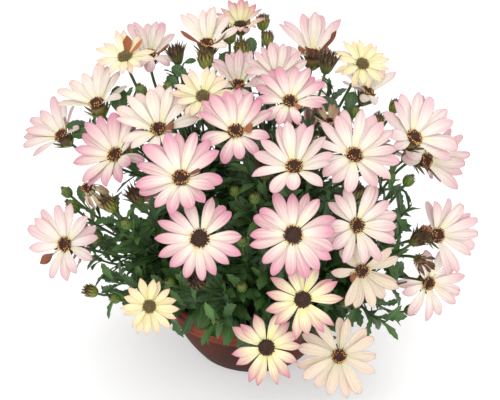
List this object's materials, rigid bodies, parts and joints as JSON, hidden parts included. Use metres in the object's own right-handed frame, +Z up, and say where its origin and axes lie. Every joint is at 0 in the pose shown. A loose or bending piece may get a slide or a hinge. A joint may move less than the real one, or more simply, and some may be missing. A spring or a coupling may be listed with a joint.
{
  "type": "potted osteospermum",
  "caption": "Bushy African daisy in a low terracotta bowl: cream ray petals that blush pink at their tips, dark domed discs, long bare flower stalks, closed buds and toothed leaves.",
  "frame": {"origin": "centre of the pot's flat underside", "axes": "+Z up along the pot's axis, and the plant's fullest side faces -Y"},
  "size_m": [0.3768, 0.3395, 0.3067],
  "materials": {
    "terracotta": "matte",
    "soil": "matte",
    "leaf_green": "satin",
    "petal_butter": "matte",
    "petal_cream": "matte",
    "petal_blush": "matte",
    "petal_rose": "matte",
    "petal_faded": "matte",
    "petal_spent": "matte"
  },
  "bodies": {
    "root": {"pot": "terracotta", "soil": "soil", "shoot_1": "leaf_green", "shoot_2": "leaf_green", "shoot_3": "leaf_green", "shoot_4": "leaf_green", "shoot_5": "leaf_green", "shoot_6": "leaf_green", "shoot_7": "leaf_green", "shoot_8": "leaf_green", "shoot_9": "leaf_green", "bloom_01": "petal_butter", "bloom_02": "petal_blush", "bloom_03": "petal_cream", "bloom_04": "petal_butter", "bloom_05": "petal_cream", "bloom_06": "petal_blush", "bloom_07": "petal_rose", "bloom_08": "petal_cream", "bloom_09": "petal_butter", "bloom_10": "petal_blush", "bloom_11": "petal_rose", "bloom_12": "petal_rose", "bloom_13": "petal_blush", "bloom_14": "petal_butter", "bloom_15": "petal_cream", "bloom_16": "petal_blush", "bloom_17": "petal_rose", "bloom_18": "petal_blush", "bloom_19": "petal_blush", "bloom_20": "petal_blush", "bloom_21": "petal_blush", "bloom_22": "petal_blush", "bloom_23": "petal_rose", "bloom_24": "petal_butter", "bloom_25": "petal_rose", "bloom_26": "petal_blush", "bloom_27": "petal_blush", "bloom_28": "petal_faded", "bloom_29": "petal_blush", "bloom_30": "petal_butter", "bloom_31": "petal_butter", "bloom_32": "petal_faded", "bloom_33": "petal_spent", "bloom_34": "petal_spent", "bloom_35": "petal_spent", "bloom_36": "petal_blush", "bloom_37": "petal_cream", "bloom_38": "petal_rose", "bloom_39": "petal_blush", "bloom_40": "petal_cream", "bloom_41": "petal_blush", "bloom_42": "petal_rose", "bloom_43": "petal_butter", "bloom_44": "petal_rose", "bloom_45": "petal_butter", "bloom_46": "petal_blush"}
  },
  "joints": []
}
